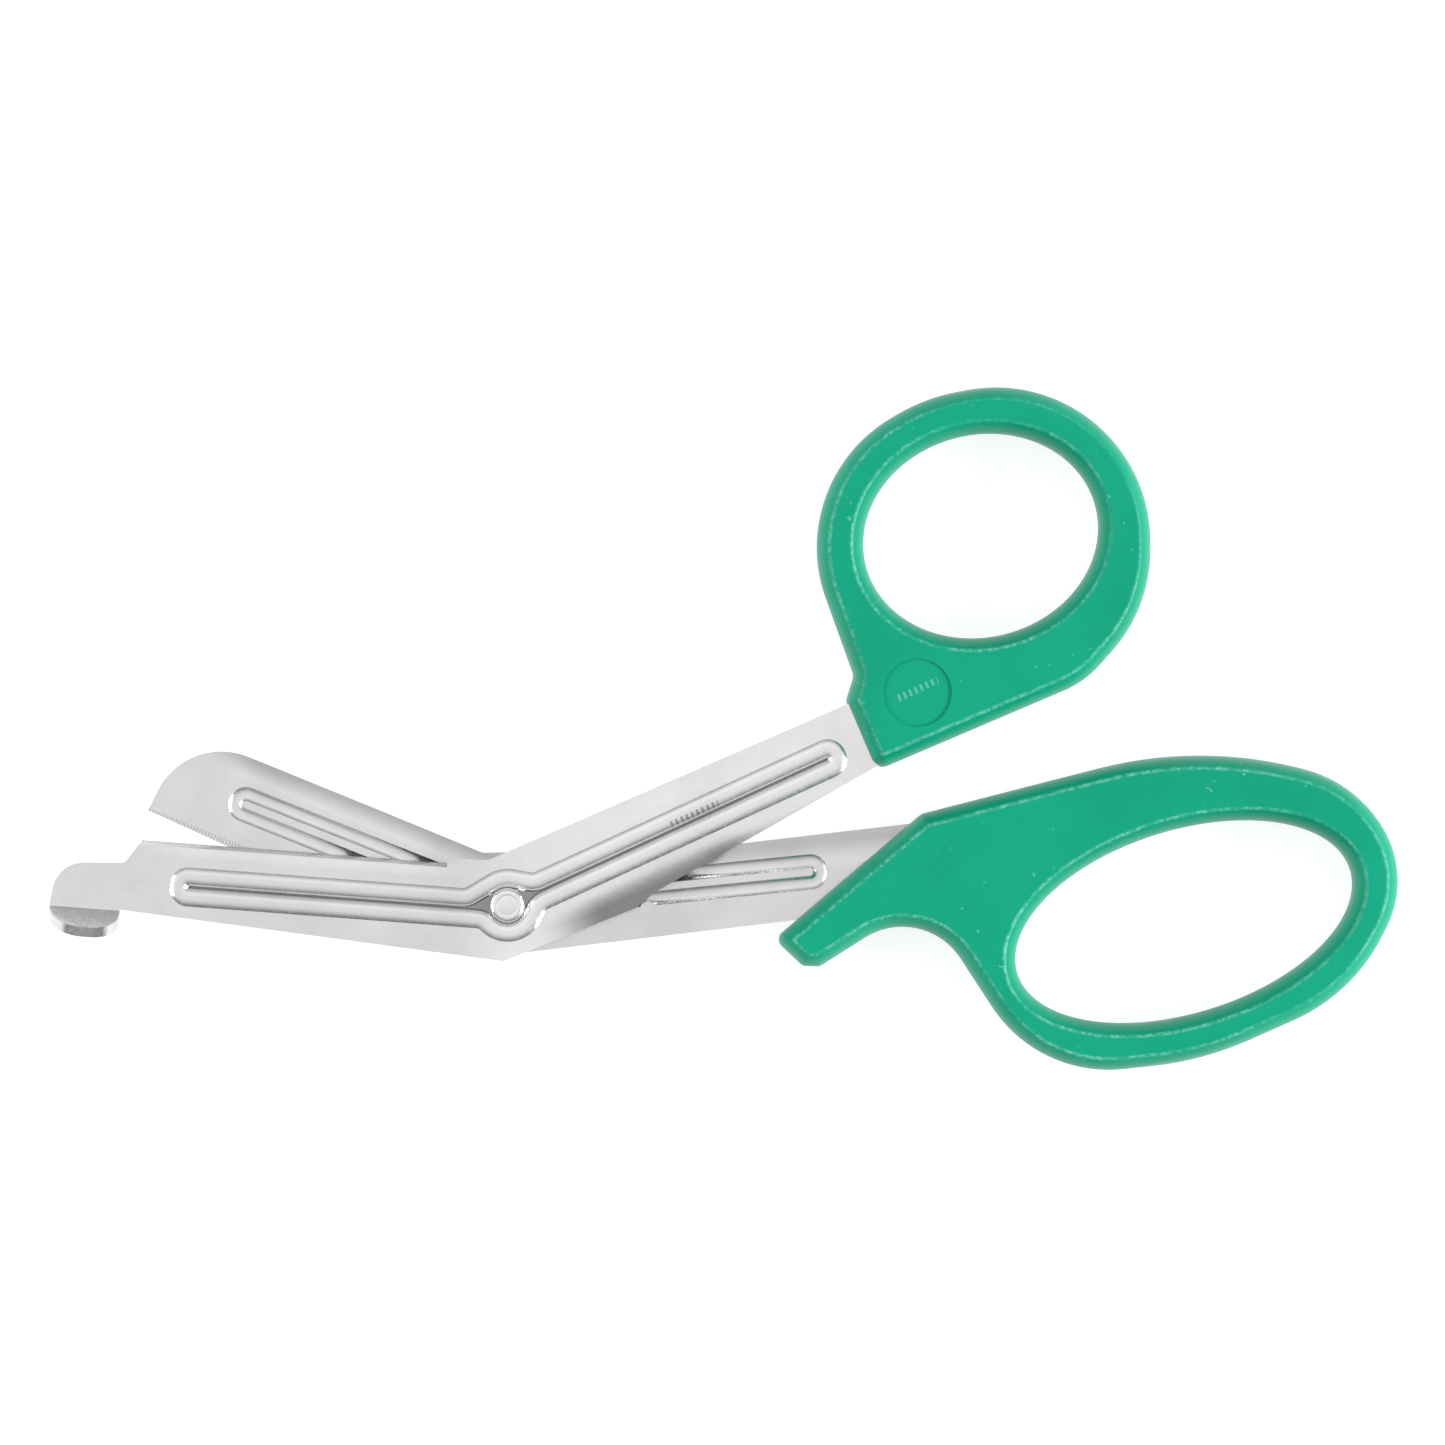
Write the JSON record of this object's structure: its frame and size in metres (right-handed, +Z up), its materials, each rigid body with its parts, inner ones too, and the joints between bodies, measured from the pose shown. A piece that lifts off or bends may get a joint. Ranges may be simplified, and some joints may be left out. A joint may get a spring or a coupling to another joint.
{
  "type": "bandage shears",
  "caption": "Bandage shears lying flat, jaws part open: bent stamped steel blades on a rivet, a blunt foot on the lower tip, moulded thumb and finger loops.",
  "frame": {"origin": "centre of the whole footprint, on the table that the handles lie on", "axes": "+X from the blades towards the handles along the longest extent, +Y towards the thumb loop's side, +Z up from the table, along the rivet towards its domed head"},
  "size_m": [0.19, 0.0962, 0.0109],
  "materials": {
    "blade_steel": "tumbled and finely brushed stainless sheet, satin",
    "rivet_steel": "turned stainless steel, soft polish",
    "handle_plastic": "moulded green plastic, semi-matt with scuffed creases"
  },
  "bodies": {
    "front_half": {"front_blade": "blade_steel", "thumb_handle": "handle_plastic", "pivot_rivet": "rivet_steel", "rivet_washer": "rivet_steel"},
    "rear_half": {"rear_blade": "blade_steel", "finger_handle": "handle_plastic"}
  },
  "joints": [
    {"name": "shears_pivot", "type": "hinge", "parent": "front_half", "child": "rear_half", "pos_m": [-0.03044, -0.02487, 0.0048], "axis": [0, 0, 1], "range_deg": [-70, 7]}
  ]
}
